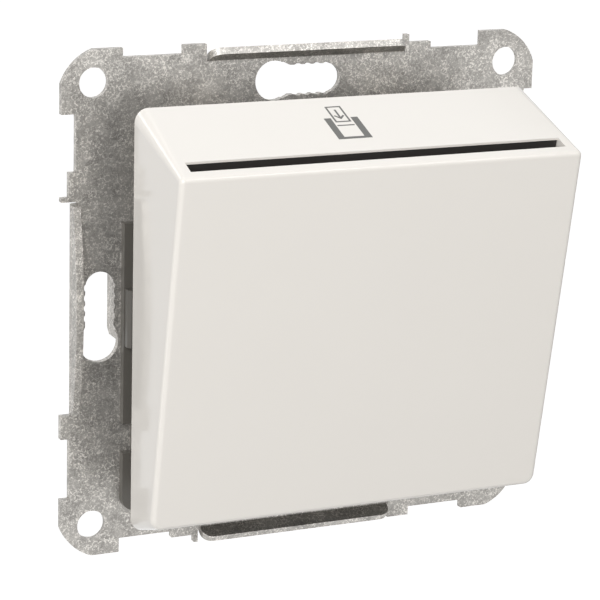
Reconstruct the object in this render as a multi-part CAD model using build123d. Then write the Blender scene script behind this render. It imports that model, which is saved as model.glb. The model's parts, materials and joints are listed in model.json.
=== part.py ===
from build123d import *
import math
import os

# Hotel key card switch: a flush insert on a wall box plate with a wedge-shaped cover.
# X runs right, Y into the wall and Z up. The origin is the middle of the plate's back face.
# Sizes called "out" are distances in front of the wall plane, so they lie at negative Y.

# Shared clearances and the overrun of every cut
overrun = 2.0
seat_gap = 0.1
slide_gap = 0.2
running_gap = 0.05

# Card slot, which sets the width of the whole; a card of 53.98 x 0.76 goes in
slot_half = 27.05
slot_gap = 2.2
slot_skin = 0.3

# Supporting plate
plate_margin = 8.45
plate_thickness = 1.0
ear_end_inset = 8.6
ear_arc_inset = 4.5
ear_arc_radius = 7.4
corner_hole_inset = 4.5
corner_hole_radius = 2.05
shallow_notch = 1.25
deep_notch = 2.05
big_bump_start = 18.2
big_bump_end = 14.85
finger_start = 15.0
small_bump_start = 15.6
small_bump_end = 19.0
small_bump_drop = 1.1

# Flaps bent forward along the plate's four edges
flap_root_inset = 2.4
flap_slit = 0.3
bend_radius = 0.25
leaning_flap_angle = 60.0
leaning_flap_length = 2.0
leaning_flap_rounding = 1.5
upright_flap_angle = 90.0
upright_flap_length = 2.85
upright_flap_end_length = 1.3

# Keyhole slots for the box screws
keyhole_inset = 5.5
keyhole_circle_offset = 4.9
keyhole_circle_radius = 2.75
keyhole_slot_end = 5.1
keyhole_slot_half = 2.05
keyhole_neck_length = 1.1
scallop_reach = 0.5
scallop_floor = 0.22
scallop_depth = 0.17
scallop_pitch = 1.42
scallop_count = 4
scallop_first = -1.3

# Plate opening and the tabs bent back from its sides
opening_inset = 10.7
opening_bevel = 1.6
tab_half = 6.0
tab_length = 7.1
tab_bevel = 0.8
tab_window_half = 3.6
tab_window_start = 2.4
tab_window_height = 2.8

# Cover
side_wall = 1.95
front_wall = 1.6
roof_wall = 1.6
floor_wall = 1.5
rim_out = 10.95
rim_top_inset = 6.25
rim_bottom_inset = 6.65
roof_depth = 16.3
roof_fall = 6.05
floor_depth = 7.65
floor_rise = 2.65
rim_edge_rounding = 1.85
roof_front_rounding = 0.75
floor_front_rounding = 1.5
front_edge_rounding = 0.7

# Snap arms of the cover
arm_half = 3.0
arm_place = 14.0
arm_thickness = 1.4
top_arm_reach = 4.45
bottom_arm_reach = 2.45
hook_catch_out = 5.6
hook_nose = 0.6
hook_ramp = 1.0
hook_depth = 0.8

# Insert base
flange_thickness = 1.2
flange_margin = 2.1
flange_bottom_margin = 4.3
flange_top_margin = 1.6
flange_top_side_margin = 0.1
flange_shoulder = 11.8
flange_rounding = 1.7
flange_recess_half = 10.0
flange_recess_depth = 2.3
flange_notch_low = -20.7
flange_notch_high = -16.5
flange_notch_depth = 1.5
tongue_low = -5.4
tongue_high = 2.9
tongue_width = 1.35
tongue_rise = 1.5
tongue_slit = 0.4
tongue_chamfer = 0.45
core_side_inset = 2.45
core_top_inset = 3.55
core_bottom_inset = 2.85
core_wall = 1.6
spigot_gap = 0.4
spigot_depth = 1.5
spigot_wall = 2.0
spigot_bevel = 1.4
barb_half = 3.0
barb_depth = 0.7
barb_start = 2.7
barb_height = 2.2
barb_arm_thickness = 1.3

# Card guide
guide_thickness = 1.4
guide_bottom_rise = 1.13
ledge_thickness = 1.4
ledge_drop = 0.47
foot_window_half = 5.0
foot_window_rise = 2.88
foot_window_drop = 3.42
guide_screw_inset = 7.55
guide_screw_depth = 19.0
guide_screw_radius = 0.85
guide_screw_length = 8.0
guide_head_radius = 1.7
guide_boss_half = 2.2

# Leaf springs in the card guide
leaf_place = 13.0
leaf_half = 2.0
leaf_length = 14.0
leaf_bow = 1.9
leaf_thickness = 0.25
leaf_centre_depth = 30.0
leaf_recess_depth = 0.3

# Lever and its pin
pivot_rise = 7.0
pivot_setback = 3.48
pin_radius = 1.0
pin_half = 7.4
hub_radius = 2.2
hub_side = 4.5
hub_spring_side = 2.3
foot_tip_rise = 0.3
foot_tip_gap = 0.34
foot_tip_thickness = 1.0
foot_root_reach = 2.6
foot_top_rise = 1.1
foot_bottom_drop = 1.2
foot_rounding = 0.4
tail_reach_past = 1.0
tail_top_rise = 1.3
tail_bottom_drop = 0.3
lever_bottom_drop = 1.6
ear_inner = 5.2
ear_radius = 2.3

# Torsion spring
spring_wire_radius = 0.2
spring_coil_radius = 1.6
spring_turns = 2
spring_wire_sides = 5
spring_start = 2.6
spring_length = 1.7
spring_leg_reach = 4.4
spring_spare = 0.05

# Micro-switch
switch_half = 10.0
switch_rise = 3.8
switch_height = 10.5
switch_room = 4.0
switch_wall = 1.0
lid_thickness = 0.8
switch_screw_inset = 1.65
switch_screw_rise = 7.4
switch_screw_radius = 0.85
switch_screw_length = 8.6
switch_head_radius = 1.7
switch_head_height = 1.1
switch_boss_half = 1.5
plunger_place = -2.5
plunger_radius = 1.2
plunger_drop = 2.25
plunger_rise = 3.0
plunger_bevel = 0.4
plunger_collar_half = 1.5
plunger_collar_rise = 1.3
plunger_collar_height = 0.6

# Contacts inside the micro-switch
strip_thickness = 0.6
blade_setback = 1.8
contact_setback = 3.4
blade_spare = 0.2
blade_end_spare = 1.0
blade_roll_radius = 0.4
blade_rise = 3.2
blade_thickness = 0.4
blade_half_width = 1.5
rivet_inset = 1.3
rivet_radius = 0.85
rivet_height = 0.6
fixed_rivet_height = 0.5
contact_gap = 0.1
blade_lift = 2.06
tab_width = 2.6
closed_tab_half = 1.5
common_gap = 0.4
tab_rise = 4.5
closed_strip_width = 1.5

# Strips from the tabs to the terminals
link_half = 1.8
link_low_rise = 0.7
link_rise = 0.6
link_end_drop = 1.4
link_window_spare = 0.8
link_window_height = 2.4

# Terminals
terminal_side_gap = 0.8
block_gap = 0.2
block_depth = 7.6
block_height = 6.8
block_top_inset = 2.9
wire_hole_radius = 1.6
wire_hole_rise = 2.6
terminal_screw_radius = 1.45
terminal_screw_place = 3.7
terminal_screw_length = 3.4
terminal_screw_rise = 1.2

# Rear housing
housing_inset = 2.2
housing_end_inset = 1.2
housing_step = 7.0
housing_rear_inset = 4.3
housing_back = 20.0
housing_wall = 1.5
housing_bevel = 1.6
housing_rear_bevel = 2.6
wire_entry_half = 2.1
screw_access_half = 1.9
rib_half = 0.6
rib_drop = 0.4
housing_screw_inset = 3.2
housing_screw_end_inset = 3.4
housing_screw_radius = 1.05
housing_screw_length = 8.4
housing_head_radius = 2.2
housing_head_height = 1.6
housing_post_half = 2.2
slot_width = 0.6
slot_depth = 0.7

# Places on the plate and in its opening
front_plane_y = -plate_thickness
plate_half = slot_half + plate_margin
ear_end = plate_half - ear_end_inset
ear_arc_start = plate_half - ear_arc_inset
corner_hole_place = plate_half - corner_hole_inset
flap_root = plate_half - flap_root_inset
keyhole_place = plate_half - keyhole_inset
opening_half = plate_half - opening_inset
flange_y = front_plane_y - flange_thickness
flange_half = opening_half + flange_margin
flange_top_half = opening_half + flange_top_side_margin
flange_top = opening_half + flange_top_margin
flange_bottom = -opening_half - flange_bottom_margin
spigot_half = opening_half - spigot_gap
housing_half = opening_half - housing_inset
housing_half_height = opening_half - housing_end_inset
housing_rear_half = housing_half - housing_rear_inset
housing_screw_x = housing_half - housing_screw_inset
housing_screw_z = housing_half_height - housing_screw_end_inset

# Places on the cover, and the lean of its front, roof and floor
cover_half = slot_half + side_wall
rim_top = plate_half - rim_top_inset
rim_bottom = rim_bottom_inset - plate_half
front_top_out = rim_out + roof_depth
front_top_height = rim_top - roof_fall
front_bottom_out = rim_out + floor_depth
front_bottom_height = rim_bottom + floor_rise
lean = math.atan((front_top_out - front_bottom_out) / (front_top_height - front_bottom_height))
roof_slope = roof_fall / roof_depth
roof_pitch = math.atan(roof_slope)
floor_slope = -floor_rise / floor_depth
floor_pitch = math.atan(floor_slope)
pocket_back = front_wall + slot_gap
guide_front = pocket_back + seat_gap
guide_back = guide_front + guide_thickness
guide_half = slot_half - seat_gap
guide_screw_x = slot_half - guide_screw_inset
core_half = slot_half - core_side_inset
core_top = rim_top - core_top_inset
core_bottom = rim_bottom + core_bottom_inset

# Places on the micro-switch, from its place over the lever
pivot_height = core_bottom + pivot_rise
switch_bottom = pivot_height + switch_rise
switch_top = switch_bottom + switch_height
switch_back_y = flange_y
switch_floor_y = switch_back_y - switch_wall
strip_front_y = switch_floor_y - strip_thickness
switch_front_y = strip_front_y - switch_room - lid_thickness
plunger_y = strip_front_y - blade_setback
contact_y = strip_front_y - contact_setback
contact_left = switch_wall - switch_half
contact_right = contact_left + tab_width
common_right = switch_half - switch_wall
common_left = common_right - tab_width
switch_screw_x = common_left - switch_screw_inset
switch_screw_height = switch_bottom + switch_screw_rise
rivet_place = contact_left + rivet_inset
blade_start = contact_left + blade_spare
blade_hinge_place = common_right - blade_end_spare
blade_bottom = switch_bottom + blade_rise
blade_top = blade_bottom + blade_thickness
closed_contact_level = blade_bottom - rivet_height - contact_gap
open_contact_level = blade_top + rivet_height + blade_lift + contact_gap
tab_top = switch_top + tab_rise

# Places on the strips and terminals
link_low = switch_top + link_low_rise
link_level = tab_top + link_rise
terminal_pitch = (housing_rear_half - housing_wall - terminal_side_gap) / 2
block_back = housing_back - housing_wall
block_front = block_back - block_depth
block_high = housing_rear_half - block_top_inset
block_low = block_high - block_height
block_half = terminal_pitch / 2 - rib_half - block_gap
link_top = block_high - link_end_drop
wire_hole_height = block_low + wire_hole_rise
terminal_screw_in = block_front + terminal_screw_place

# Plane whose X runs up the cover's front face and whose Y points out of it
chute = Plane(
    origin=(0, -front_top_out, front_top_height),
    x_dir=(0, -math.sin(lean), math.cos(lean)),
    z_dir=(1, 0, 0),
)


def behind_face(height, inset):
    """Y of the plane that lies inset behind the front face, at a height."""
    return (
        (front_top_height - height) * math.tan(lean)
        + inset / math.cos(lean)
        - front_top_out
    )


def under_roof(y, drop):
    """Height of the plane that lies drop under the cover's roof, at Y."""
    return front_top_height + (y + front_top_out) * roof_slope - drop / math.cos(roof_pitch)


def roof_corner(inset, drop):
    """Where the plane inset behind the face meets the one drop under the roof."""
    inset_run = inset / math.cos(lean)
    drop_rise = drop / math.cos(roof_pitch)
    run = (drop_rise * math.tan(lean) + inset_run) / (1 + roof_slope * math.tan(lean))
    return (run - front_top_out, front_top_height + run * roof_slope - drop_rise)


def floor_corner(inset, rise):
    """Where the plane inset behind the face meets the one rise over the cover's floor."""
    inset_run = inset / math.cos(lean)
    rise_step = rise / math.cos(floor_pitch)
    run = (inset_run - rise_step * math.tan(lean)) / (1 + floor_slope * math.tan(lean))
    return (run - front_bottom_out, front_bottom_height + run * floor_slope + rise_step)


def along_chute(height):
    """Place along the chute of a height on the card guide's front."""
    return (height - front_top_height - guide_front * math.sin(lean)) / math.cos(lean)


# Places on the lever, between the card guide and the plunger
pivot_out = -behind_face(pivot_height, guide_back) - pivot_setback
foot_tip_height = pivot_height + foot_tip_rise
foot_tip_out = -behind_face(foot_tip_height, front_wall) - foot_tip_gap
foot_root_out = pivot_out + foot_root_reach
tail_end_out = -plunger_y - tail_reach_past
spring_end = spring_start + spring_length


def slab(sketch, front, back):
    """Solid of an X-Z sketch between two Y places."""
    return extrude(Plane.XZ.offset(-back) * sketch, back - front)


def bar(sketch, left, right):
    """Solid of a Y-Z sketch between two X places."""
    return extrude(Plane.YZ.offset(left) * sketch, right - left)


def block(left, right, front, back, low, high):
    """Box between places along X, Y and Z."""
    shape = Rectangle(right - left, high - low, align=(Align.MIN, Align.MIN))
    return slab(Pos(left, low) * shape, front, back)


def rod(radius, x, z, front, back):
    """Cylinder along Y."""
    return slab(Pos(x, z) * Circle(radius), front, back)


def cross_bar(radius, y, z, left, right):
    """Cylinder along X."""
    return bar(Pos(y, z) * Circle(radius), left, right)


def post(radius, x, y, low, high):
    """Cylinder along Z."""
    return extrude(Plane.XY.offset(low) * (Pos(x, y) * Circle(radius)), high - low)


def bevelled(width, height, bevel):
    """Rectangle with bevelled corners."""
    return chamfer(Rectangle(width, height).vertices(), bevel)


def quarter_turn(point, quarter):
    """A point of the top edge, carried clockwise round the plate."""
    x, z = point
    for _ in range(quarter):
        x, z = z, -x
    return (x, z)


def plate_outline():
    """Outline with ears, notches, bumps and the roots of the flaps."""
    shallow_line = plate_half - shallow_notch
    deep_line = plate_half - deep_notch
    small_bump_line = plate_half - small_bump_drop
    edge = [
        (-ear_arc_start, plate_half),
        (-ear_end, plate_half),
        (-ear_end, shallow_line),
        (-big_bump_start, shallow_line),
        (-big_bump_start, plate_half),
        (-big_bump_end, plate_half),
        (-big_bump_end, flap_root),
        (finger_start, flap_root),
        (finger_start, plate_half),
        (small_bump_start, plate_half),
        (small_bump_start, small_bump_line),
        (small_bump_end, small_bump_line),
        (small_bump_end, deep_line),
        (ear_end, deep_line),
        (ear_end, plate_half),
        (ear_arc_start, plate_half),
    ]
    lines = Curve()
    for quarter in range(4):
        points = [quarter_turn(point, quarter) for point in edge]
        following = quarter_turn(edge[0], quarter + 1)
        lines += Polyline(*points)
        lines += RadiusArc(points[-1], following, ear_arc_radius)
    return make_face(lines)


def keyhole():
    """Top keyhole: round end, angled neck and a slot with scalloped sides."""
    circle_x = -keyhole_circle_offset
    slot_end_x = keyhole_slot_end - keyhole_slot_half
    shape = Pos(circle_x, 0) * Circle(keyhole_circle_radius)
    slot = Rectangle(slot_end_x - circle_x, 2 * keyhole_slot_half, align=(Align.MIN, Align.CENTER))
    shape += Pos(circle_x, 0) * slot
    shape += Pos(slot_end_x, 0) * Circle(keyhole_slot_half)
    mouth_x = circle_x + math.sqrt(keyhole_circle_radius**2 - keyhole_slot_half**2)
    shape += make_face(
        Polyline(
            (mouth_x - keyhole_neck_length, 0),
            (mouth_x - keyhole_neck_length / 2, keyhole_slot_half + keyhole_neck_length / 2),
            (mouth_x + keyhole_neck_length / 2, keyhole_slot_half),
            (mouth_x + keyhole_neck_length / 2, -keyhole_slot_half),
            (mouth_x - keyhole_neck_length / 2, -keyhole_slot_half - keyhole_neck_length / 2),
            close=True,
        )
    )
    scallop = make_face(
        Polyline(
            (-scallop_reach, 0),
            (-scallop_floor, scallop_depth),
            (scallop_floor, scallop_depth),
            (scallop_reach, 0),
            (scallop_floor, -scallop_depth),
            (-scallop_floor, -scallop_depth),
            close=True,
        )
    )
    for index in range(scallop_count):
        x = scallop_first + index * scallop_pitch
        for side in (-1, 1):
            shape += Pos(x, side * keyhole_slot_half) * scallop
    return Pos(0, keyhole_place) * shape


def bent_flap(width, angle, outline):
    """Flap that leaves the plate's edge along Y, bent towards Z by an angle."""
    section = Plane.XZ * Rectangle(width, plate_thickness, align=(Align.CENTER, Align.MIN))
    turn_height = plate_thickness + bend_radius
    bend = revolve(section, Axis((0, 0, turn_height), (1, 0, 0)), angle)
    sine = math.sin(math.radians(angle))
    cosine = math.cos(math.radians(angle))
    straight = Plane(
        origin=(0, bend_radius * sine, turn_height - bend_radius * cosine),
        x_dir=(1, 0, 0),
        z_dir=(0, -sine, cosine),
    )
    return bend + extrude(straight * outline, -plate_thickness)


def flap_outline(width, length, end_length):
    """Flap outline from its bend line, with a crowned tip where it is longer in the middle."""
    half = width / 2
    side_left = Line((-half, end_length), (-half, 0))
    root = Line((-half, 0), (half, 0))
    side_right = Line((half, 0), (half, end_length))
    if length > end_length:
        tip = ThreePointArc((half, end_length), (0, length), (-half, end_length))
    else:
        tip = Line((half, end_length), (-half, end_length))
    return make_face(side_left + root + side_right + tip)


def make_mounting_plate():
    plate = slab(plate_outline(), front_plane_y, 0)
    holes = Sketch() + bevelled(2 * opening_half, 2 * opening_half, opening_bevel)
    for quarter in range(4):
        x, z = quarter_turn((corner_hole_place, corner_hole_place), quarter)
        holes += Pos(x, z) * Circle(corner_hole_radius)
        holes += Rot(0, 0, -90 * quarter) * keyhole()
    plate -= slab(holes, front_plane_y - overrun, overrun)

    flap_left = -big_bump_end + flap_slit
    flap_right = finger_start - flap_slit
    flap_width = flap_right - flap_left
    flap_middle = (flap_left + flap_right) / 2
    outline = flap_outline(flap_width, leaning_flap_length, leaning_flap_length)
    outline = fillet(outline.vertices().group_by(Axis.Y)[-1], leaning_flap_rounding)
    leaning = bent_flap(flap_width, leaning_flap_angle, outline)
    outline = flap_outline(flap_width, upright_flap_length, upright_flap_end_length)
    upright = bent_flap(flap_width, upright_flap_angle, outline)
    edge_plane = Plane(origin=(flap_middle, 0, flap_root), x_dir=(1, 0, 0), z_dir=(0, -1, 0))
    for quarter in range(4):
        flap = leaning if quarter % 2 == 0 else upright
        plate += Rot(0, 90 * quarter, 0) * (edge_plane * flap)

    bend_start = opening_half + bend_radius + plate_thickness
    relief = block(
        opening_half - overrun,
        bend_start,
        front_plane_y - overrun,
        overrun,
        -tab_half,
        tab_half,
    )
    tab_plane = Plane(origin=(bend_start, front_plane_y, 0), x_dir=(0, 0, -1), z_dir=(0, 1, 0))
    tab = tab_plane * make_tab()
    plate -= [relief, relief.mirror(Plane.YZ)]
    plate += [tab, tab.mirror(Plane.YZ)]
    return plate


def make_tab():
    """Tab bent back from the opening's edge, with the window for the insert's barb."""
    outline = Pos(0, tab_length / 2) * Rectangle(2 * tab_half, tab_length)
    outline = chamfer(outline.vertices().group_by(Axis.Y)[-1], tab_bevel)
    window = Rectangle(2 * tab_window_half, tab_window_height, align=(Align.CENTER, Align.MIN))
    outline -= Pos(0, tab_window_start) * window
    return bent_flap(2 * tab_half, upright_flap_angle, outline)


def cover_body():
    """Wedge between the upright rim and the leaning front, with rounded edges."""
    profile = make_face(
        Polyline(
            (-rim_out, rim_bottom),
            (-rim_out, rim_top),
            (-front_top_out, front_top_height),
            (-front_bottom_out, front_bottom_height),
            close=True,
        )
    )
    body = bar(profile, -cover_half, cover_half)
    for side in (-1, 1):
        rim_corner = Vector(side * cover_half, -rim_out, rim_top)
        front_corner = Vector(side * cover_half, -front_top_out, front_top_height)
        body -= edge_waste(rim_corner, front_corner, roof_front_rounding)
        rim_corner = Vector(side * cover_half, -rim_out, rim_bottom)
        front_corner = Vector(side * cover_half, -front_bottom_out, front_bottom_height)
        body -= edge_waste(rim_corner, front_corner, floor_front_rounding)
    front_face = body.faces().filter_by(GeomType.PLANE).sort_by_distance(
        (0, -(front_top_out + front_bottom_out) / 2, (front_top_height + front_bottom_height) / 2)
    )[0]
    return fillet(front_face.edges(), front_edge_rounding)


def edge_waste(rim_corner, front_corner, front_rounding):
    """What a cone-shaped rounding takes off a side edge: wide at the rim and narrow at the front."""
    run = front_corner - rim_corner
    along = run.normalized()
    across = Vector(-math.copysign(1, rim_corner.X), 0, 0)
    inward = Vector(1, 0, 0).cross(along) * math.copysign(1, rim_corner.Z)
    narrowing = (rim_edge_rounding - front_rounding) / run.length
    sections = []
    for place in (-overrun, run.length + overrun):
        radius = rim_edge_rounding - narrowing * place
        corner = rim_corner + along * place
        outline = Polyline(
            corner,
            corner + across * radius,
            corner + (across + inward) * radius,
            corner + inward * radius,
            close=True,
        )
        sections.append(make_face(outline))
    tip_place = rim_edge_rounding / narrowing
    tip = rim_corner + along * tip_place
    lean = math.atan(math.sqrt(2) * narrowing)
    tilt = math.sin(lean) / math.sqrt(2)
    axis = (across + inward) * tilt - along * math.cos(lean)
    length = tip_place + run.length
    cone = Solid.make_cone(0, length * math.tan(math.asin(tilt)), length)
    return loft(sections, ruled=True) - Plane(origin=tip, x_dir=across + inward, z_dir=axis) * cone


def make_cover():
    cover = cover_body()
    cavity = make_face(
        Polyline(
            (overrun - rim_out, rim_bottom + floor_wall),
            (overrun - rim_out, under_roof(-rim_out, roof_wall)),
            (-rim_out, under_roof(-rim_out, roof_wall)),
            roof_corner(front_wall, roof_wall),
            floor_corner(front_wall, floor_wall),
            (-rim_out, rim_bottom + floor_wall),
            close=True,
        )
    )
    cover -= bar(cavity, -slot_half, slot_half)
    cover -= slot_cut()
    for side in (-1, 1):
        for x in (-arm_place, arm_place):
            cover += Pos(x, 0, 0) * snap_arm(side)
    return cover


def slot_cut():
    """Card slot through the roof, with the rebate that takes the card guide's lip."""
    length = roof_wall + slot_gap + 2 * overrun
    shape = Pos(0, -front_wall - slot_gap / 2) * Rectangle(length, slot_gap)
    rebate = lip_outline(pocket_back - slot_gap / 2, guide_back + seat_gap, slot_skin)
    return extrude(chute * shape, slot_half, both=True) + bar(rebate, -slot_half, slot_half)


def lip_outline(front, back, drop):
    """Y-Z outline between two planes behind the face, from a drop under the roof down."""
    low_drop = roof_wall + 2 * slide_gap
    return make_face(
        Polyline(
            roof_corner(front, low_drop),
            roof_corner(front, drop),
            roof_corner(back, drop),
            roof_corner(back, low_drop),
            close=True,
        )
    )


def snap_arm(side):
    """Arm behind the cover's roof or floor that hooks into the core's wall."""
    if side > 0:
        base = core_top + slide_gap
        arm_front_out = rim_out + top_arm_reach
    else:
        base = core_bottom - slide_gap
        arm_front_out = rim_out + bottom_arm_reach
    hook_tip_out = hook_catch_out - hook_nose
    arm_end_out = hook_tip_out - hook_ramp
    shape = make_face(
        Polyline(
            (-arm_front_out, base),
            (-hook_catch_out, base),
            (-hook_catch_out, base - side * hook_depth),
            (-hook_tip_out, base - side * hook_depth),
            (-arm_end_out, base),
            (-arm_end_out, base + side * arm_thickness),
            (-arm_front_out, base + side * arm_thickness),
            close=True,
        )
    )
    return bar(shape, -arm_half, arm_half)


def core_profile(inset, margin):
    """Y-Z outline of the core: margin shrinks its top and bottom, its front leans."""
    roof_drop = roof_wall + 2 * slide_gap + margin
    top = core_top - margin
    bottom = core_bottom + margin
    turn_y = (top - under_roof(0, roof_drop)) / roof_slope
    return make_face(
        Polyline(
            (front_plane_y, bottom),
            (front_plane_y, top),
            (turn_y, top),
            roof_corner(inset, roof_drop),
            (behind_face(bottom, inset), bottom),
            close=True,
        )
    )


def flange_outline():
    """X-Z outline of the flange: recessed below, notched and slit at its sides."""
    low_height = flange_shoulder - flange_bottom
    shape = Rectangle(2 * flange_half, low_height, align=(Align.CENTER, Align.MIN))
    shape = Pos(0, flange_bottom) * shape
    shape = fillet(shape.vertices().group_by(Axis.Y)[0], flange_rounding)
    upper = Rectangle(
        2 * flange_top_half, flange_top - flange_shoulder, align=(Align.CENTER, Align.MIN)
    )
    shape += Pos(0, flange_shoulder) * upper
    recess = Rectangle(2 * flange_recess_half, flange_recess_depth, align=(Align.CENTER, Align.MIN))
    shape -= Pos(0, flange_bottom) * recess
    for side in (-1, 1):
        notch_middle = (flange_notch_low + flange_notch_high) / 2
        notch = Rectangle(2 * flange_notch_depth, flange_notch_high - flange_notch_low)
        shape -= Pos(side * flange_half, notch_middle) * notch
        slit_x = side * (flange_half - tongue_width - tongue_slit / 2)
        slit = Rectangle(tongue_slit, tongue_high - tongue_low)
        shape -= Pos(slit_x, (tongue_low + tongue_high) / 2) * slit
    return shape


def make_tongue(side):
    """Raised snap tongue on the flange's side edge."""
    inner = flange_half - tongue_width
    top = flange_y - tongue_rise
    shape = make_face(
        Polyline(
            (side * inner, front_plane_y),
            (side * (flange_half - seat_gap), front_plane_y),
            (side * (flange_half - seat_gap), top + tongue_chamfer),
            (side * (flange_half - seat_gap - tongue_chamfer), top),
            (side * inner, top),
            close=True,
        )
    )
    low = tongue_low + seat_gap
    high = tongue_high - seat_gap
    return extrude(Plane.XY.offset(low) * shape, high - low)


def make_insert_base():
    base = bar(core_profile(guide_back, 0), -core_half, core_half)
    hollow = bar(core_profile(-overrun, core_wall), core_wall - core_half, core_half - core_wall)
    hollow -= block(-core_half, core_half, flange_y, overrun, core_bottom, core_top)
    base -= hollow
    base += slab(flange_outline(), flange_y, front_plane_y)

    spigot = bevelled(2 * spigot_half, 2 * spigot_half, spigot_bevel)
    inner_half = spigot_half - spigot_wall
    spigot -= Rectangle(2 * inner_half, 2 * inner_half)
    for place in housing_screw_places():
        spigot += Pos(*place) * Rectangle(2 * housing_post_half, 2 * housing_post_half)
    for side in (-1, 1):
        boss = Rectangle(2 * guide_boss_half, 2 * guide_boss_half)
        spigot += Pos(side * switch_screw_x, switch_screw_height) * boss
        spigot -= Pos(side * spigot_half, 0) * Rectangle(
            2 * (barb_arm_thickness + slide_gap), 2 * (barb_half + slide_gap)
        )
    base += slab(spigot, front_plane_y, spigot_depth)

    window_half = terminal_pitch + link_half + link_window_spare
    window_low = link_level - link_window_spare
    base -= block(
        -window_half,
        window_half,
        flange_y - overrun,
        overrun,
        window_low,
        window_low + link_window_height,
    )

    for side in (-1, 1):
        base += make_barb(side)
        base += make_tongue(side)
        base += guide_boss(side)
        base += make_ear(side)
        for x in (-arm_place, arm_place):
            base -= Pos(x, 0, 0) * hook_window(side)
        base -= guide_screw_hole(side)
        base -= rod(
            switch_screw_radius,
            side * switch_screw_x,
            switch_screw_height,
            flange_y - overrun,
            spigot_depth + overrun,
        )
    for place in housing_screw_places():
        base -= rod(housing_screw_radius, *place, flange_y - overrun, spigot_depth + overrun)
    return base


def make_barb(side):
    """Springy arm behind the flange whose barb catches in the plate tab's window."""
    outer = spigot_half
    inner = spigot_half - barb_arm_thickness
    barb_end = barb_start + barb_height
    shape = make_face(
        Polyline(
            (side * inner, front_plane_y - seat_gap),
            (side * outer, front_plane_y - seat_gap),
            (side * outer, barb_start),
            (side * (outer + barb_depth), barb_start),
            (side * (outer + barb_depth), barb_start + barb_height / 2),
            (side * outer, barb_end),
            (side * outer, barb_end + seat_gap),
            (side * inner, barb_end + seat_gap),
            close=True,
        )
    )
    return extrude(Plane.XY.offset(-barb_half) * shape, 2 * barb_half)


def make_ear(side):
    """Bearing ear of the lever's pin, standing on the bulkhead."""
    shape = Pos(-pivot_out, pivot_height) * Circle(ear_radius)
    root = Rectangle(pivot_out + flange_y, 2 * ear_radius, align=(Align.MIN, Align.CENTER))
    shape += Pos(-pivot_out, pivot_height) * root
    shape -= Pos(-pivot_out, pivot_height) * Circle(pin_radius)
    left = ear_inner if side > 0 else -pin_half
    return bar(shape, left, left + pin_half - ear_inner)


def hook_window(side):
    """Hole in the core's wall that takes a cover hook."""
    if side > 0:
        low = core_top - core_wall - overrun
        high = core_top + overrun
    else:
        low = core_bottom - overrun
        high = core_bottom + core_wall + overrun
    reach = arm_half + slide_gap
    front = -(hook_catch_out + slide_gap)
    back = -(hook_catch_out - hook_nose - hook_ramp - slide_gap)
    return block(-reach, reach, front, back, low, high)


def guide_axis(side):
    """Plane on the card guide's front at a guide screw, its Z pointing out."""
    origin = chute.from_local_coords((-guide_screw_depth, -guide_front, side * guide_screw_x))
    return Plane(
        origin=origin, x_dir=(1, 0, 0), z_dir=(0, -math.cos(lean), -math.sin(lean))
    )


def guide_boss(side):
    """Boss from the bulkhead to the card guide."""
    shape = Rectangle(2 * guide_boss_half, 2 * guide_boss_half)
    boss = extrude(guide_axis(side) * shape, -front_top_out)
    return boss & bar(core_profile(guide_back, 0), -core_half, core_half)


def guide_screw_hole(side):
    """Pilot hole of a guide screw."""
    depth = guide_thickness + guide_screw_length
    return extrude(guide_axis(side) * Circle(guide_screw_radius), -depth)


def housing_screw_places():
    return [(housing_screw_x, housing_screw_z), (-housing_screw_x, -housing_screw_z)]


def make_card_guide():
    top_drop = roof_wall + 2 * slide_gap
    low = front_bottom_height + guide_bottom_rise
    shape = make_face(
        Polyline(
            (behind_face(low, guide_front), low),
            roof_corner(guide_front, top_drop),
            roof_corner(guide_back, top_drop),
            (behind_face(low, guide_back), low),
            close=True,
        )
    )
    guide = bar(shape, -guide_half, guide_half)
    lip = lip_outline(guide_front, guide_back, slot_skin + seat_gap)
    guide += bar(lip, -guide_half, guide_half)
    ledge_top = along_chute(pivot_height - ledge_drop)
    ledge_reach = guide_front - front_wall - slide_gap
    ledge = Rectangle(ledge_thickness, ledge_reach, align=(Align.MAX, Align.MIN))
    guide += extrude(chute * (Pos(ledge_top, -guide_front) * ledge), guide_half, both=True)
    window_top = along_chute(pivot_height + foot_window_rise)
    window_bottom = along_chute(pivot_height - foot_window_drop)
    window = Rectangle(window_top - window_bottom, slot_gap + 2 * guide_thickness + overrun)
    window_middle = (window_top + window_bottom) / 2
    guide -= extrude(
        chute * (Pos(window_middle, -guide_front) * window), foot_window_half, both=True
    )
    for side in (-1, 1):
        recess = Rectangle(leaf_length + slide_gap, 2 * leaf_recess_depth)
        recess_reach = leaf_half + slide_gap
        cut = extrude(
            chute * (Pos(-leaf_centre_depth, -guide_front) * recess), recess_reach, both=True
        )
        guide -= Pos(side * leaf_place, 0, 0) * cut
        guide -= guide_screw_hole(side)
        guide -= countersunk_head(side)
    return guide


def countersunk_head(side):
    """Cone of a countersunk head whose face is flush with the card guide."""
    shape = Cone(
        guide_screw_radius,
        guide_head_radius,
        guide_thickness,
        align=(Align.CENTER, Align.CENTER, Align.MAX),
    )
    return guide_axis(side) * shape


def make_guide_screws():
    return Compound(children=[countersunk_head(side) + guide_screw_hole(side) for side in (-1, 1)])


def make_card_springs():
    half = leaf_length / 2
    outer = ThreePointArc((-half, 0), (0, leaf_bow), (half, 0))
    end = Line((half, 0), (half - leaf_thickness, 0))
    inner = ThreePointArc(
        (half - leaf_thickness, 0), (0, leaf_bow - leaf_thickness), (leaf_thickness - half, 0)
    )
    start = Line((leaf_thickness - half, 0), (-half, 0))
    band = make_face(outer + end + inner + start)
    seat = -guide_front - leaf_recess_depth
    strip = extrude(chute * (Pos(-leaf_centre_depth, seat) * band), leaf_half, both=True)
    return Compound(children=[Pos(side * leaf_place, 0, 0) * strip for side in (-1, 1)])


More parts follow.
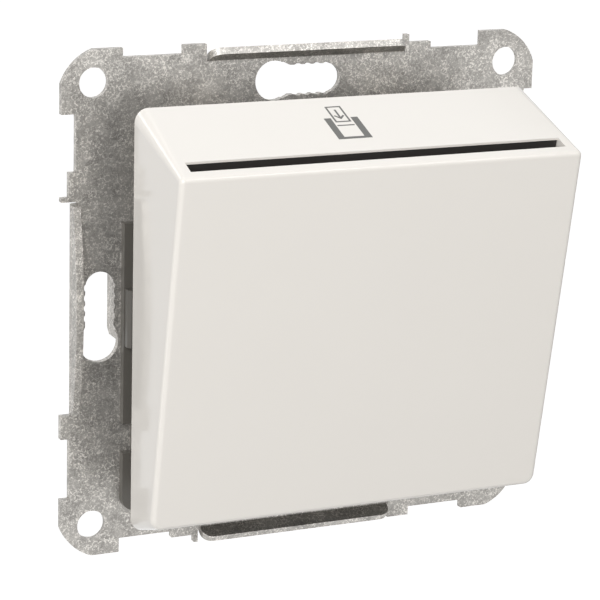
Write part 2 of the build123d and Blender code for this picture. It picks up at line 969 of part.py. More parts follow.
def make_card_lever():
    """See-saw lever: its foot spans the card pocket, its tail lifts the plunger."""
    tail_top = pivot_height + tail_top_rise
    lever_bottom = pivot_height - lever_bottom_drop
    outline = make_face(
        Polyline(
            (-tail_end_out, tail_top),
            (-pivot_out, pivot_height + lever_bottom_drop),
            (-foot_root_out, pivot_height + foot_top_rise),
            (-foot_tip_out, foot_tip_height),
            (-foot_tip_out, foot_tip_height - foot_tip_thickness),
            (-foot_root_out, pivot_height - foot_bottom_drop),
            (-pivot_out, lever_bottom),
            (-tail_end_out, pivot_height - tail_bottom_drop),
            close=True,
        )
    )
    tips = outline.vertices().group_by(Axis.X)[0]
    outline = fillet(tips, foot_rounding)
    lever = bar(outline, -hub_side, hub_side)
    lever += cross_bar(hub_radius, -pivot_out, pivot_height, -hub_side, hub_spring_side)
    clearance = spring_coil_radius + 2 * spring_wire_radius + slide_gap
    lever -= cross_bar(clearance, -pivot_out, pivot_height, hub_spring_side, hub_side + overrun)
    lever -= block(
        hub_spring_side,
        hub_side + overrun,
        -pivot_out,
        overrun - tail_end_out,
        lever_bottom - overrun,
        tail_top + overrun,
    )
    lever -= cross_bar(
        pin_radius + running_gap,
        -pivot_out,
        pivot_height,
        -hub_side - overrun,
        hub_side + overrun,
    )
    return lever


def make_pivot_pin():
    return cross_bar(pin_radius, -pivot_out, pivot_height, -pin_half, pin_half)


def spring_point(half_turn):
    """Point of the coil after a number of half turns, starting at the bottom."""
    side = 1 if half_turn % 2 else -1
    pitch = (spring_end - spring_start) / spring_turns
    return Vector(
        spring_start + pitch * half_turn / 2, -pivot_out, pivot_height + side * spring_coil_radius
    )


def spring_direction(half_turn):
    """Direction of the wire there; it runs square to the pin where a leg joins."""
    if half_turn in (0, 2 * spring_turns):
        return Vector(0, -1, 0)
    side = 1 if half_turn % 2 else -1
    pitch = (spring_end - spring_start) / spring_turns
    around = 2 * math.pi * spring_coil_radius
    return Vector(pitch, side * around, 0).normalized()


def two_arcs(start, start_direction, end, end_direction):
    """Two arcs that leave start and reach end in the given directions, and meet smoothly."""
    chord = end - start
    both = start_direction + end_direction
    slack = 2 * (1 - start_direction.dot(end_direction))
    reach = (
        math.sqrt(chord.dot(both) ** 2 + slack * chord.dot(chord)) - chord.dot(both)
    ) / slack
    meeting = (start + start_direction * reach + end - end_direction * reach) / 2
    first = TangentArc(start, meeting, tangent=start_direction)
    return [first, TangentArc(meeting, end, tangent=first % 1)]


def make_lever_spring():
    """Torsion spring on the pin: one leg on the bulkhead, one under the foot."""
    last = 2 * spring_turns
    leg_height = pivot_height - spring_coil_radius
    path = [Line((spring_start, flange_y - spring_spare, leg_height), spring_point(0))]
    for half_turn in range(last):
        path += two_arcs(
            spring_point(half_turn),
            spring_direction(half_turn),
            spring_point(half_turn + 1),
            spring_direction(half_turn + 1),
        )
    leg_end = (spring_end, -pivot_out - spring_leg_reach, leg_height)
    path.append(Line(spring_point(last), leg_end))
    section = Plane(origin=path[0] @ 0, z_dir=path[0] % 0) * RegularPolygon(
        spring_wire_radius, spring_wire_sides
    )
    return sweep(section, path=Wire([edge for piece in path for edge in piece.edges()]))


def make_switch_plunger():
    """Button with a square collar that keeps it in the case."""
    plunger = post(
        plunger_radius,
        plunger_place,
        plunger_y,
        switch_bottom - plunger_drop,
        switch_bottom + plunger_rise,
    )
    plunger = chamfer(plunger.edges().group_by(Axis.Z)[0], plunger_bevel)
    collar_low = switch_bottom + plunger_collar_rise
    return plunger + block(
        plunger_place - plunger_collar_half,
        plunger_place + plunger_collar_half,
        plunger_y - plunger_collar_half,
        plunger_y + plunger_collar_half,
        collar_low,
        collar_low + plunger_collar_height,
    )


def switch_screw_rods(radius, front, back):
    rods = [
        rod(radius, side * switch_screw_x, switch_screw_height, front, back)
        for side in (-1, 1)
    ]
    return rods[0] + rods[1]


def make_switch_case():
    case = block(
        -switch_half,
        switch_half,
        switch_front_y + lid_thickness,
        switch_back_y,
        switch_bottom,
        switch_top,
    )
    case -= block(
        switch_wall - switch_half,
        switch_half - switch_wall,
        switch_front_y - overrun,
        switch_floor_y,
        switch_bottom + switch_wall,
        switch_top - switch_wall,
    )
    for side in (-1, 1):
        case += block(
            side * switch_screw_x - switch_boss_half,
            side * switch_screw_x + switch_boss_half,
            switch_front_y + lid_thickness,
            switch_back_y,
            switch_screw_height - switch_boss_half,
            switch_screw_height + switch_boss_half,
        )
    case -= switch_screw_rods(switch_screw_radius, switch_front_y - overrun, overrun)
    case -= post(
        plunger_radius + running_gap,
        plunger_place,
        plunger_y,
        switch_bottom - overrun,
        switch_bottom + switch_wall + seat_gap,
    )
    for left, right in tab_spans():
        case -= block(
            left, right, strip_front_y, switch_floor_y, switch_top - 2 * switch_wall, tab_top
        )
    return case


def tab_spans():
    """Left and right sides of the three tabs."""
    return [
        (contact_left, contact_right),
        (-closed_tab_half, closed_tab_half),
        (common_left, common_right),
    ]


def make_switch_lid():
    lid = block(
        -switch_half,
        switch_half,
        switch_front_y,
        switch_front_y + lid_thickness,
        switch_bottom,
        switch_top,
    )
    return lid - switch_screw_rods(switch_screw_radius, switch_front_y - overrun, overrun)


def make_switch_screws():
    screws = []
    for side in (-1, 1):
        x = side * switch_screw_x
        head_front = switch_front_y - switch_head_height
        screw = rod(switch_head_radius, x, switch_screw_height, head_front, switch_front_y)
        screw += rod(
            switch_screw_radius,
            x,
            switch_screw_height,
            switch_front_y,
            switch_front_y + switch_screw_length,
        )
        screw -= block(
            x - switch_head_radius,
            x + switch_head_radius,
            head_front - slot_depth,
            head_front + slot_depth,
            switch_screw_height - slot_width / 2,
            switch_screw_height + slot_width / 2,
        )
        screws.append(screw)
    return Compound(children=screws)


def bent_contact(left, right, level, upward):
    """Strip from a tab down to a contact arm that is bent forward at a level."""
    arm_top = level + strip_thickness if upward else level
    arm_low = arm_top - strip_thickness
    strip = block(left, right, strip_front_y, switch_floor_y, arm_low, tab_top)
    return strip + block(left, right, contact_y, strip_front_y, arm_low, arm_top)


def make_open_contact():
    level = open_contact_level + fixed_rivet_height
    return bent_contact(contact_left, contact_right, level, True)


def make_closed_contact():
    arm_top = closed_contact_level - fixed_rivet_height
    arm_low = arm_top - strip_thickness
    strip = block(
        -closed_tab_half, closed_tab_half, strip_front_y, switch_floor_y, arm_low, tab_top
    )
    strip += block(
        contact_left,
        closed_tab_half,
        strip_front_y,
        switch_floor_y,
        arm_low,
        arm_low + closed_strip_width,
    )
    return strip + block(contact_left, contact_right, contact_y, strip_front_y, arm_low, arm_top)


def make_common_contact():
    return bent_contact(common_left, common_right, blade_top + common_gap, True)


def make_fixed_rivets():
    open_rivet = post(
        rivet_radius,
        rivet_place,
        plunger_y,
        open_contact_level,
        open_contact_level + fixed_rivet_height,
    )
    closed_rivet = post(
        rivet_radius,
        rivet_place,
        plunger_y,
        closed_contact_level - fixed_rivet_height,
        closed_contact_level,
    )
    return Compound(children=[open_rivet, closed_rivet])


def make_contact_blade():
    """Spring strip with a rolled end, about which it turns, and a hole for its rivet."""
    front = plunger_y - blade_half_width
    back = plunger_y + blade_half_width
    blade = block(blade_start, blade_hinge_place, front, back, blade_bottom, blade_top)
    middle = (blade_bottom + blade_top) / 2
    blade += rod(blade_roll_radius, blade_hinge_place, middle, front, back)
    return blade - post(
        rivet_radius, rivet_place, plunger_y, blade_bottom - overrun, blade_top + overrun
    )


def make_blade_rivet():
    """Contact pressed through the blade, so that it stands out on both sides."""
    return post(
        rivet_radius,
        rivet_place,
        plunger_y,
        blade_bottom - rivet_height,
        blade_top + rivet_height,
    )


def make_link(middle):
    """Strip from a tab back through the bulkhead and up to a terminal block."""
    front = switch_floor_y
    inner_front = front + strip_thickness
    shape = make_face(
        Polyline(
            (front, link_low),
            (front, link_level + strip_thickness),
            (block_front - strip_thickness, link_level + strip_thickness),
            (block_front - strip_thickness, link_top),
            (block_front, link_top),
            (block_front, link_level),
            (inner_front, link_level),
            (inner_front, link_low),
            close=True,
        )
    )
    return bar(shape, middle - link_half, middle + link_half)


def terminal_places():
    return [-terminal_pitch, 0, terminal_pitch]


def make_terminal_blocks():
    blocks = []
    for x in terminal_places():
        body = block(x - block_half, x + block_half, block_front, block_back, block_low, block_high)
        body -= rod(wire_hole_radius, x, wire_hole_height, block_front - overrun, block_back + overrun)
        body -= post(
            terminal_screw_radius, x, terminal_screw_in, wire_hole_height, block_high + overrun
        )
        blocks.append(body)
    return Compound(children=blocks)


def make_terminal_screws():
    """Slotted screws without heads, which clamp the wires."""
    screws = []
    for x in terminal_places():
        top = block_high + terminal_screw_rise
        screw = post(terminal_screw_radius, x, terminal_screw_in, top - terminal_screw_length, top)
        screw -= block(
            x - terminal_screw_radius,
            x + terminal_screw_radius,
            terminal_screw_in - slot_width / 2,
            terminal_screw_in + slot_width / 2,
            top - slot_depth,
            top + slot_depth,
        )
        screws.append(screw)
    return Compound(children=screws)


def make_rear_housing():
    """Stepped box over the terminals, with wire entries behind and screw access on top."""
    front_width = 2 * housing_half
    front_height = 2 * housing_half_height
    rear_width = 2 * housing_rear_half
    hollow = 2 * housing_wall
    inside_back = housing_back - housing_wall
    housing = slab(bevelled(front_width, front_height, housing_bevel), spigot_depth, housing_step)
    housing += slab(bevelled(rear_width, rear_width, housing_rear_bevel), spigot_depth, housing_back)
    inner_front = Rectangle(front_width - hollow, front_height - hollow)
    inner_rear = bevelled(
        rear_width - hollow, rear_width - hollow, housing_rear_bevel - housing_wall
    )
    housing -= slab(inner_front, spigot_depth - overrun, housing_step - housing_wall)
    housing -= slab(inner_rear, spigot_depth - overrun, inside_back)
    for x in (terminal_pitch / 2, 3 * terminal_pitch / 2):
        for side in (-1, 1):
            housing += block(
                side * x - rib_half,
                side * x + rib_half,
                block_front,
                inside_back,
                block_low - rib_drop,
                housing_rear_half - housing_wall,
            )
    for x in terminal_places():
        housing -= block(
            x - wire_entry_half,
            x + wire_entry_half,
            inside_back - seat_gap,
            housing_back + overrun,
            wire_hole_height - wire_entry_half,
            wire_hole_height + wire_entry_half,
        )
        housing -= block(
            x - screw_access_half,
            x + screw_access_half,
            terminal_screw_in - screw_access_half,
            terminal_screw_in + screw_access_half,
            block_high + seat_gap,
            housing_rear_half + overrun,
        )
    for x, z in housing_screw_places():
        housing += block(
            x - housing_post_half,
            x + housing_post_half,
            spigot_depth,
            housing_step,
            z - housing_post_half,
            z + housing_post_half,
        )
        housing -= rod(
            housing_screw_radius + seat_gap, x, z, spigot_depth - overrun, housing_back
        )
    return housing


def make_housing_screws():
    screws = []
    for x, z in housing_screw_places():
        head_back = housing_step + housing_head_height
        screw = rod(housing_head_radius, x, z, housing_step, head_back)
        screw += rod(
            housing_screw_radius, x, z, housing_step - housing_screw_length, housing_step
        )
        screw -= block(
            x - housing_head_radius,
            x + housing_head_radius,
            head_back - slot_depth,
            head_back + slot_depth,
            z - slot_width / 2,
            z + slot_width / 2,
        )
        screws.append(screw)
    return Compound(children=screws)


def main():
    pieces = {
        "mounting_plate": make_mounting_plate(),
        "insert_base": make_insert_base(),
        "card_guide": make_card_guide(),
        "guide_screws": make_guide_screws(),
        "card_springs": make_card_springs(),
        "cover": make_cover(),
        "card_lever": make_card_lever(),
        "pivot_pin": make_pivot_pin(),
        "lever_spring": make_lever_spring(),
        "switch_plunger": make_switch_plunger(),
        "switch_case": make_switch_case(),
        "switch_lid": make_switch_lid(),
        "switch_screws": make_switch_screws(),
        "open_contact": make_open_contact(),
        "closed_contact": make_closed_contact(),
        "common_contact": make_common_contact(),
        "fixed_rivets": make_fixed_rivets(),
        "contact_blade": make_contact_blade(),
        "blade_rivet": make_blade_rivet(),
        "terminal_blocks": make_terminal_blocks(),
        "terminal_screws": make_terminal_screws(),
        "rear_housing": make_rear_housing(),
        "housing_screws": make_housing_screws(),
    }
    link_names = ("link_open", "link_closed", "link_common")
    for name, middle in zip(link_names, terminal_places()):
        pieces[name] = make_link(middle)
    os.makedirs("parts", exist_ok=True)
    for name, shape in pieces.items():
        export_step(shape, f"parts/{name}.step")


main()
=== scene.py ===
import json
import math
from collections import namedtuple

import bmesh
import bpy
from mathutils import Matrix, Vector


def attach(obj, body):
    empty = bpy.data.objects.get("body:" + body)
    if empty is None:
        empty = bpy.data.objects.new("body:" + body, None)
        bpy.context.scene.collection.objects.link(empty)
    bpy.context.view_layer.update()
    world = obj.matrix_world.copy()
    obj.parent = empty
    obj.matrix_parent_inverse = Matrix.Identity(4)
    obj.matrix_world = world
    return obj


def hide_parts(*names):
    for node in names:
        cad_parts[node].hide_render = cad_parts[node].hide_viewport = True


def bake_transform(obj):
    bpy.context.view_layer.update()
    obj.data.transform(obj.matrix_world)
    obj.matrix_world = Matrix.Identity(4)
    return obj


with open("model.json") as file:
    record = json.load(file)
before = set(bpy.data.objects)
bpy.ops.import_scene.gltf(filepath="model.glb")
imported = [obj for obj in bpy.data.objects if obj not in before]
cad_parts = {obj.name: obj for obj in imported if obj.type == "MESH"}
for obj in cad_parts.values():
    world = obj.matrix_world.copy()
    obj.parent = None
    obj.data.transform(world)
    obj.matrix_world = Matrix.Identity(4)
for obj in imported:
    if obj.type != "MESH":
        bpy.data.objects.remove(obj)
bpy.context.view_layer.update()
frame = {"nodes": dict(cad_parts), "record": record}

# Looks of the key card switch. Lengths are metres, X runs right, Y into the wall and Z up.

nodes = frame["nodes"]
millimetre = 0.001

# Camera at the photograph's viewing angle
photo_size = 600
focal_pixels = 2629.16
camera_place = Vector((-0.149649, -0.324838, 0.093288))
camera_yaw = math.radians(24.79)
camera_pitch = math.radians(14.87)
camera_roll = math.radians(1.54)
camera_near = 0.01
camera_far = 20.0
sensor_width = 36.0

# Lamps are square and face the middle of the object; power is in watts
Lamp = namedtuple("Lamp", "name place size power colour")
neutral = (1.0, 1.0, 1.0)
cool = (0.96, 0.98, 1.0)
lamps = [
    Lamp("key", Vector((-0.48, -0.62, 0.35)), 0.6, 7.3, neutral),
    Lamp("top", Vector((0.3, 0.25, 1.15)), 1.2, 3.75, cool),
    Lamp("front_edge", Vector((0.40, -0.66, 0.60)), 0.25, 1.0, neutral),
    Lamp("left_edge", Vector((-0.75, 0.0, -0.35)), 0.10, 0.13, neutral),
    Lamp("back_edge", Vector((-0.6, 0.6, 0.7)), 0.28, 0.75, neutral),
]

# Room; the glow of the floor and the white of the world are for the eye alone
white = (1.0, 1.0, 1.0, 1.0)
world_strength = 0.24
world_seen_strength = 1.0
floor_level = -0.9
floor_half = 6.0
floor_glow = 0.78
floor_colour = (0.93, 0.93, 0.925)
floor_roughness = 0.7

# Smooth moulded plastic
flow_mark_size = 18 * millimetre
wave_size = 6 * millimetre
peel_size = 0.9 * millimetre
peel_share = 0.15
peel_depth = 0.01 * millimetre
peel_roughness_change = 0.03

# Moulded plastic with a tool finish
cloud_size = 5 * millimetre
pit_size = 0.12 * millimetre
pit_depth = 0.01 * millimetre
pit_roughness_change = 0.08

# Bare metal
mottle_size = 0.5 * millimetre
mottle_depth = 0.005 * millimetre
mottle_roughness_change = 0.08
drawn_stretch = (0.1, 1.0, 1.0)

# Zinc coat: the size of each mark, and its share of the step from the dark tone to the light one
zinc_metallic = 0.85
zinc_cloud_size = 3.5 * millimetre
zinc_cloud_share = 0.42
crystal_size = 0.9 * millimetre
crystal_share = 0.14
rim_crystal_size = 0.85 * millimetre
rim_reach = 0.48
rim_width = 0.11
rim_share = 0.56
curl_size = 0.48 * millimetre
curl_distortion = 2.4
curl_width = 0.06
curl_share = 0.16
fleck_size = 0.30 * millimetre
fleck_distortion = 0.8
fleck_share = 0.40
grit_size = 0.16 * millimetre
grit_share = 0.20
patch_size = 2.2 * millimetre
patch_faint = 0.55
patch_strong = 1.35
zinc_rougher = 0.10
zinc_smoother = 0.04
zinc_depth = 0.012 * millimetre
zinc_bump_strength = 0.6

# The part of a noise's range over which each kind of mark comes in
fleck_range = (0.54, 0.68)
broken_range = (0.42, 0.60)
middle_range = (0.35, 0.65)
noise_middle = 0.5

# The cover's roof is the largest face that points this far up and this far forward
roof_least_up = 0.8
roof_least_forward = 0.2

# Printed symbol on the roof, in millimetres from the middle and down from the rim
ink_thickness = 0.015
symbol_middle = -1.75
card_half = 1.15
card_top = 2.3
card_bottom = 6.3
card_line = 0.26
arrow_top = 3.15
arrow_tip = 5.35
arrow_half = 0.58
arrow_drop = 0.62
arrow_line = 0.28
fold_top = 6.98
fold_half = 1.25
fold_line = 0.25
holder_half = 2.45
holder_top = 5.2
holder_bottom = 10.45
holder_side = 1.0
holder_base = 0.5


def link(tree, source, target):
    tree.links.new(source, target)


def add(tree, kind, **values):
    """New node; values name its sockets, with spaces written as underscores."""
    node = tree.nodes.new(kind)
    for name, value in values.items():
        node.inputs[name.replace("_", " ")].default_value = value
    return node


def new_material(name, colour, metallic, roughness):
    material = bpy.data.materials.new(name)
    material.use_nodes = True
    tree = material.node_tree
    shader = tree.nodes["Principled BSDF"]
    shader.inputs["Base Color"].default_value = (*colour, 1.0)
    shader.inputs["Metallic"].default_value = metallic
    shader.inputs["Roughness"].default_value = roughness
    return material, tree, shader


def position(tree):
    """Place on the object in metres, so that every pattern has its real scale."""
    return tree.nodes.new("ShaderNodeTexCoord").outputs["Object"]


def noise(tree, place, size, detail=2.0, distortion=0.0):
    """Noise whose blotches are about size metres wide."""
    node = add(tree, "ShaderNodeTexNoise", Scale=1.0 / size, Detail=detail, Distortion=distortion)
    link(tree, place, node.inputs["Vector"])
    return node.outputs["Fac"]


def crystals(tree, place, size):
    """Cells of about size metres."""
    node = add(tree, "ShaderNodeTexVoronoi", Scale=1.0 / size)
    link(tree, place, node.inputs["Vector"])
    return node


def spread(tree, value, low, high, from_low=0.0, from_high=1.0):
    """Maps a value from one range to another."""
    node = tree.nodes.new("ShaderNodeMapRange")
    link(tree, value, node.inputs["Value"])
    for name, number in (
        ("From Min", from_low),
        ("From Max", from_high),
        ("To Min", low),
        ("To Max", high),
    ):
        node.inputs[name].default_value = number
    return node.outputs["Result"]


def combine(tree, operation, first, second=0.0):
    node = tree.nodes.new("ShaderNodeMath")
    node.operation = operation
    for socket, value in zip(node.inputs, (first, second)):
        if isinstance(value, float):
            socket.default_value = value
        else:
            link(tree, value, socket)
    return node.outputs["Value"]


def scaled(tree, value, factor):
    return combine(tree, "MULTIPLY", value, factor)


def total(tree, value, *others):
    for other in others:
        value = combine(tree, "ADD", value, other)
    return value


def line_at(tree, value, middle, width):
    """Full where the value is at the middle, and fading out over the width on both sides."""
    distance = combine(tree, "ABSOLUTE", combine(tree, "SUBTRACT", value, middle))
    return spread(tree, distance, low=1.0, high=0.0, from_high=width)


def colour_by(tree, shader, factor, first, second):
    """Base colour from the first colour to the second as the factor rises."""
    node = tree.nodes.new("ShaderNodeMix")
    node.data_type = "RGBA"
    link(tree, factor, node.inputs["Factor"])
    node.inputs["A"].default_value = (*first, 1.0)
    node.inputs["B"].default_value = (*second, 1.0)
    link(tree, node.outputs["Result"], shader.inputs["Base Color"])


def roughness_by(tree, shader, value, low, high, *value_range):
    link(tree, spread(tree, value, low, high, *value_range), shader.inputs["Roughness"])


def bump(tree, shader, height, distance, strength=1.0):
    node = add(tree, "ShaderNodeBump", Strength=strength, Distance=distance)
    link(tree, height, node.inputs["Height"])
    link(tree, node.outputs["Normal"], shader.inputs["Normal"])


def glossy_plastic(name, colour, darker, roughness):
    """Smooth moulded plastic: faint flow marks, a slow waviness and a fine orange peel."""
    material, tree, shader = new_material(name, colour, metallic=0.0, roughness=roughness)
    place = position(tree)
    flow = noise(tree, place, flow_mark_size)
    peel = noise(tree, place, peel_size)
    waves = noise(tree, place, wave_size, detail=1.0)
    change = peel_roughness_change
    colour_by(tree, shader, flow, colour, darker)
    roughness_by(tree, shader, peel, roughness - change, roughness + change)
    bump(tree, shader, total(tree, waves, scaled(tree, peel, peel_share)), peel_depth)
    return material


def matt_plastic(name, colour, darker, roughness):
    """Moulded plastic with an eroded tool finish."""
    material, tree, shader = new_material(name, colour, metallic=0.0, roughness=roughness)
    place = position(tree)
    cloud = noise(tree, place, cloud_size, detail=3.0)
    pits = noise(tree, place, pit_size)
    change = pit_roughness_change
    colour_by(tree, shader, cloud, colour, darker)
    roughness_by(tree, shader, pits, roughness - change, roughness + change)
    bump(tree, shader, pits, pit_depth)
    return material


def galvanised(name, colour, darker, roughness):
    """Zinc coat: soft clouds, crystals, broken bright rims, pale curls and flecks, fine grit."""
    material, tree, shader = new_material(name, colour, zinc_metallic, roughness)
    place = position(tree)
    cloud = noise(tree, place, zinc_cloud_size, detail=3.0)
    curl = noise(tree, place, curl_size, distortion=curl_distortion)
    fleck = noise(tree, place, fleck_size, detail=1.0, distortion=fleck_distortion)
    grit = noise(tree, place, grit_size, detail=1.0)
    patch = noise(tree, place, patch_size)

    crystal = tree.nodes.new("ShaderNodeSeparateColor")
    cells = crystals(tree, place, crystal_size)
    link(tree, cells.outputs["Color"], crystal.inputs["Color"])

    curls = line_at(tree, curl, noise_middle, curl_width)
    flecks = spread(tree, fleck, 0.0, fleck_share, *fleck_range)
    rim_cells = crystals(tree, place, rim_crystal_size)
    rims = line_at(tree, rim_cells.outputs["Distance"], rim_reach, rim_width)
    rims = scaled(tree, rims, spread(tree, grit, 0.0, rim_share, *broken_range))
    patches = spread(tree, patch, patch_faint, patch_strong, *middle_range)
    marks = scaled(tree, total(tree, scaled(tree, curls, curl_share), flecks, rims), patches)

    tone = total(
        tree,
        scaled(tree, cloud, zinc_cloud_share),
        scaled(tree, crystal.outputs["Red"], crystal_share),
        marks,
        scaled(tree, grit, grit_share),
    )
    rough = roughness + zinc_rougher
    smooth = roughness - zinc_smoother
    colour_by(tree, shader, tone, darker, colour)
    roughness_by(tree, shader, curl, rough, smooth, *middle_range)
    bump(tree, shader, total(tree, curl, grit), zinc_depth, zinc_bump_strength)
    return material


def metal(name, colour, darker, roughness, stretch=None):
    """Rolled or plated metal: fine mottling, which a stretch turns into streaks."""
    material, tree, shader = new_material(name, colour, metallic=1.0, roughness=roughness)
    place = position(tree)
    if stretch:
        mapping = add(tree, "ShaderNodeMapping", Scale=stretch)
        link(tree, place, mapping.inputs["Vector"])
        place = mapping.outputs["Vector"]
    mottle = noise(tree, place, mottle_size, detail=3.0)
    change = mottle_roughness_change
    colour_by(tree, shader, mottle, colour, darker)
    roughness_by(tree, shader, mottle, roughness - change, roughness + change)
    bump(tree, shader, mottle, mottle_depth)
    return material


def drawn_metal(name, colour, darker, roughness):
    """Metal with streaks along X, the way that the pin was drawn."""
    return metal(name, colour, darker, roughness, drawn_stretch)


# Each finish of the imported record: how it is made, its colour, its darker tone and its roughness
Finish = namedtuple("Finish", "make colour darker roughness")
finishes = {
    "cover_plastic": Finish(glossy_plastic, (0.80, 0.765, 0.715), (0.785, 0.75, 0.70), 0.09),
    "plate_steel": Finish(galvanised, (0.79, 0.76, 0.715), (0.105, 0.10, 0.093), 0.42),
    "insert_plastic": Finish(matt_plastic, (0.104, 0.097, 0.085), (0.088, 0.082, 0.072), 0.34),
    "guide_plastic": Finish(matt_plastic, (0.022, 0.020, 0.018), (0.018, 0.016, 0.015), 0.45),
    "housing_plastic": Finish(matt_plastic, (0.080, 0.073, 0.064), (0.062, 0.058, 0.052), 0.5),
    "lever_plastic": Finish(matt_plastic, (0.70, 0.66, 0.57), (0.66, 0.62, 0.53), 0.4),
    "plunger_plastic": Finish(matt_plastic, (0.36, 0.02, 0.015), (0.30, 0.015, 0.012), 0.4),
    "switch_plastic": Finish(matt_plastic, (0.016, 0.016, 0.016), (0.012, 0.012, 0.012), 0.5),
    "pin_steel": Finish(drawn_metal, (0.58, 0.57, 0.55), (0.50, 0.49, 0.47), 0.22),
    "spring_steel": Finish(metal, (0.50, 0.49, 0.46), (0.42, 0.41, 0.38), 0.28),
    "screw_steel": Finish(metal, (0.62, 0.61, 0.54), (0.52, 0.51, 0.46), 0.30),
    "contact_brass": Finish(metal, (0.66, 0.46, 0.19), (0.56, 0.38, 0.15), 0.28),
    "spring_bronze": Finish(metal, (0.60, 0.36, 0.18), (0.50, 0.29, 0.14), 0.26),
    "contact_silver": Finish(metal, (0.80, 0.79, 0.76), (0.70, 0.69, 0.66), 0.24),
    "terminal_brass": Finish(metal, (0.68, 0.53, 0.24), (0.58, 0.44, 0.19), 0.34),
}
symbol_ink = Finish(matt_plastic, (0.135, 0.134, 0.125), (0.12, 0.118, 0.11), 0.5)


def material_of(name, finish):
    return finish.make(name + "_look", finish.colour, finish.darker, finish.roughness)


def dress_nodes():
    """Every node of the frame gets the material of its slot."""
    materials = {slot: material_of(slot, finish) for slot, finish in finishes.items()}
    for part in frame["record"]["subparts"]:
        slots = nodes[part["node"]].data.materials
        slots.clear()
        slots.append(materials[part["material_slot"]])


def is_roof(face):
    return face.normal.z > roof_least_up and face.normal.y < -roof_least_forward


def roof_matrix():
    """Turns X and Y in millimetres, Y down the slope from the rim, into the cover's roof."""
    mesh = nodes["cover"].data
    faces = [face for face in mesh.polygons if is_roof(face)]
    normal = max(faces, key=lambda face: face.area).normal.normalized()
    right = Vector((1.0, 0.0, 0.0))
    down = right.cross(normal)
    corners = [mesh.vertices[index].co for face in faces for index in face.vertices]
    rim = max(corners, key=lambda corner: corner.z)
    origin = Vector((0.0, rim.y, rim.z))
    turn = Matrix((right, down, normal)).transposed().to_4x4()
    return Matrix.Translation(origin) @ turn @ Matrix.Scale(millimetre, 4)


def rectangle(left, right, top, bottom):
    return [(left, top), (right, top), (right, bottom), (left, bottom)]


def slanted(start, end, width):
    """Outline of a straight line of a given width, longer by half of it at both ends."""
    start = Vector(start)
    end = Vector(end)
    along = (end - start).normalized() * width / 2
    across = Vector((-along.y, along.x))
    return [
        start - along + across,
        end + along + across,
        end + along - across,
        start - along - across,
    ]


def card_outlines():
    """The card's four edges."""
    left = symbol_middle - card_half
    right = symbol_middle + card_half
    inner_top = card_top + card_line
    inner_bottom = card_bottom - card_line
    return [
        rectangle(left, right, card_top, inner_top),
        rectangle(left, right, inner_bottom, card_bottom),
        rectangle(left, left + card_line, inner_top, inner_bottom),
        rectangle(right - card_line, right, inner_top, inner_bottom),
    ]


def arrow_outlines():
    """The arrow on the card, pointing down."""
    stem_left = symbol_middle - arrow_line / 2
    stem_right = symbol_middle + arrow_line / 2
    tip = (symbol_middle, arrow_tip)
    head_left = (symbol_middle - arrow_half, arrow_tip - arrow_drop)
    head_right = (symbol_middle + arrow_half, arrow_tip - arrow_drop)
    return [
        rectangle(stem_left, stem_right, arrow_top, arrow_tip - arrow_line),
        slanted(head_left, tip, arrow_line),
        slanted(head_right, tip, arrow_line),
    ]


def holder_outlines():
    """The line below the card, and the open holder round it."""
    fold_left = symbol_middle - fold_half
    fold_right = symbol_middle + fold_half
    left = symbol_middle - holder_half
    right = symbol_middle + holder_half
    base_top = holder_bottom - holder_base
    return [
        rectangle(fold_left, fold_right, fold_top, fold_top + fold_line),
        rectangle(left, left + holder_side, holder_top, base_top),
        rectangle(right - holder_side, right, holder_top, base_top),
        rectangle(left, right, base_top, holder_bottom),
    ]


def print_symbol():
    """Thin grey print on the roof, of a card with an arrow that goes into a holder."""
    mesh = bpy.data.meshes.new("card_symbol")
    work = bmesh.new()
    for outline in card_outlines() + arrow_outlines() + holder_outlines():
        corners = [work.verts.new((x, y, 0.0)) for x, y in outline]
        work.faces.new(corners)
    raised = bmesh.ops.extrude_face_region(work, geom=work.faces[:])
    moved = [item for item in raised["geom"] if isinstance(item, bmesh.types.BMVert)]
    bmesh.ops.translate(work, verts=moved, vec=(0.0, 0.0, ink_thickness))
    bmesh.ops.recalc_face_normals(work, faces=work.faces[:])
    work.to_mesh(mesh)
    work.free()
    mesh.transform(roof_matrix())
    mesh.materials.append(material_of("symbol_ink", symbol_ink))
    piece = bpy.data.objects.new("card_symbol", mesh)
    bpy.context.scene.collection.objects.link(piece)
    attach(piece, "support")


def twist_spring():
    """The lever's spring, copied into a piece of its own with its place baked in; the imported
    node is hidden.
    """
    spring = bpy.data.objects.new("lever_spring_coil", nodes["lever_spring"].data.copy())
    bpy.context.scene.collection.objects.link(spring)
    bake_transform(spring)
    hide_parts("lever_spring")


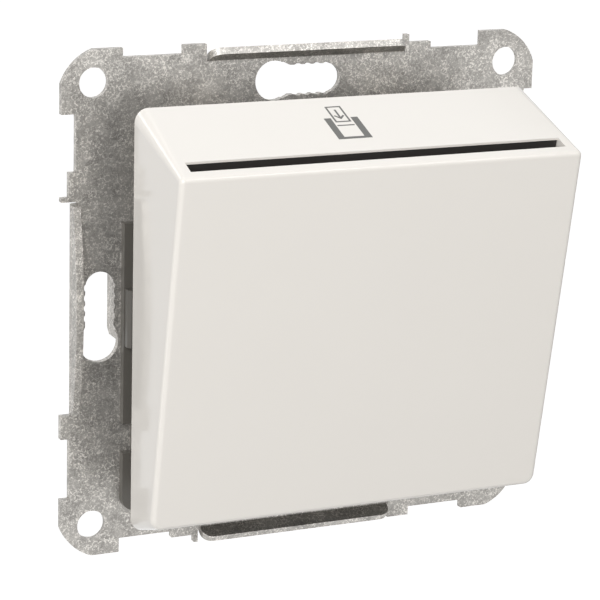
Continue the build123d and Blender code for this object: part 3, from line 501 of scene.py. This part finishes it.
def aim_camera():
    """Camera at the photograph's place, turned by yaw, pitch and roll."""
    data = bpy.data.cameras.new("photo_camera")
    camera = bpy.data.objects.new("photo_camera", data)
    bpy.context.scene.collection.objects.link(camera)
    data.sensor_width = sensor_width
    data.lens = focal_pixels * sensor_width / photo_size
    data.clip_start = camera_near
    data.clip_end = camera_far
    upright = Matrix.Rotation(math.radians(90), 3, "X")
    turn = Matrix.Rotation(-camera_yaw, 3, "Z")
    tilt = Matrix.Rotation(-camera_pitch, 3, "X")
    roll = Matrix.Rotation(camera_roll, 3, "Z")
    rotation = turn @ upright @ tilt @ roll
    camera.matrix_world = Matrix.Translation(camera_place) @ rotation.to_4x4()
    bpy.context.scene.camera = camera


def hang_lamp(lamp):
    data = bpy.data.lights.new(lamp.name, "AREA")
    data.shape = "SQUARE"
    data.size = lamp.size
    data.energy = lamp.power
    data.color = lamp.colour
    piece = bpy.data.objects.new(lamp.name, data)
    bpy.context.scene.collection.objects.link(piece)
    piece.location = lamp.place
    piece.rotation_euler = (-lamp.place).to_track_quat("-Z", "Y").to_euler()


def seen_directly(tree):
    """One for what the camera, a reflection or glass shows, and zero for light on the object."""
    path = tree.nodes.new("ShaderNodeLightPath")
    seen = combine(tree, "MAXIMUM", path.outputs["Is Camera Ray"], path.outputs["Is Glossy Ray"])
    return combine(tree, "MAXIMUM", seen, path.outputs["Is Transmission Ray"])


def make_world():
    """Even pale surroundings that the camera sees as white."""
    world = bpy.data.worlds.new("studio")
    bpy.context.scene.world = world
    world.use_nodes = True
    tree = world.node_tree
    background = tree.nodes["Background"]
    strength = spread(tree, seen_directly(tree), world_strength, world_seen_strength)
    background.inputs["Color"].default_value = white
    link(tree, strength, background.inputs["Strength"])


def make_floor():
    """Pale floor, white to the camera apart from the shadow that it keeps."""
    mesh = bpy.data.meshes.new("floor")
    work = bmesh.new()
    bmesh.ops.create_grid(work, x_segments=1, y_segments=1, size=floor_half)
    work.to_mesh(mesh)
    work.free()
    floor = bpy.data.objects.new("floor", mesh)
    floor.location.z = floor_level
    bpy.context.scene.collection.objects.link(floor)
    material, tree, shader = new_material(
        "floor_look", floor_colour, metallic=0.0, roughness=floor_roughness
    )
    mesh.materials.append(material)
    shader.inputs["Emission Color"].default_value = white
    glow = scaled(tree, seen_directly(tree), floor_glow)
    link(tree, glow, shader.inputs["Emission Strength"])


def main():
    bpy.context.scene.view_settings.view_transform = "Standard"
    aim_camera()
    make_world()
    make_floor()
    for lamp in lamps:
        hang_lamp(lamp)
    dress_nodes()
    print_symbol()
    twist_spring()


main()
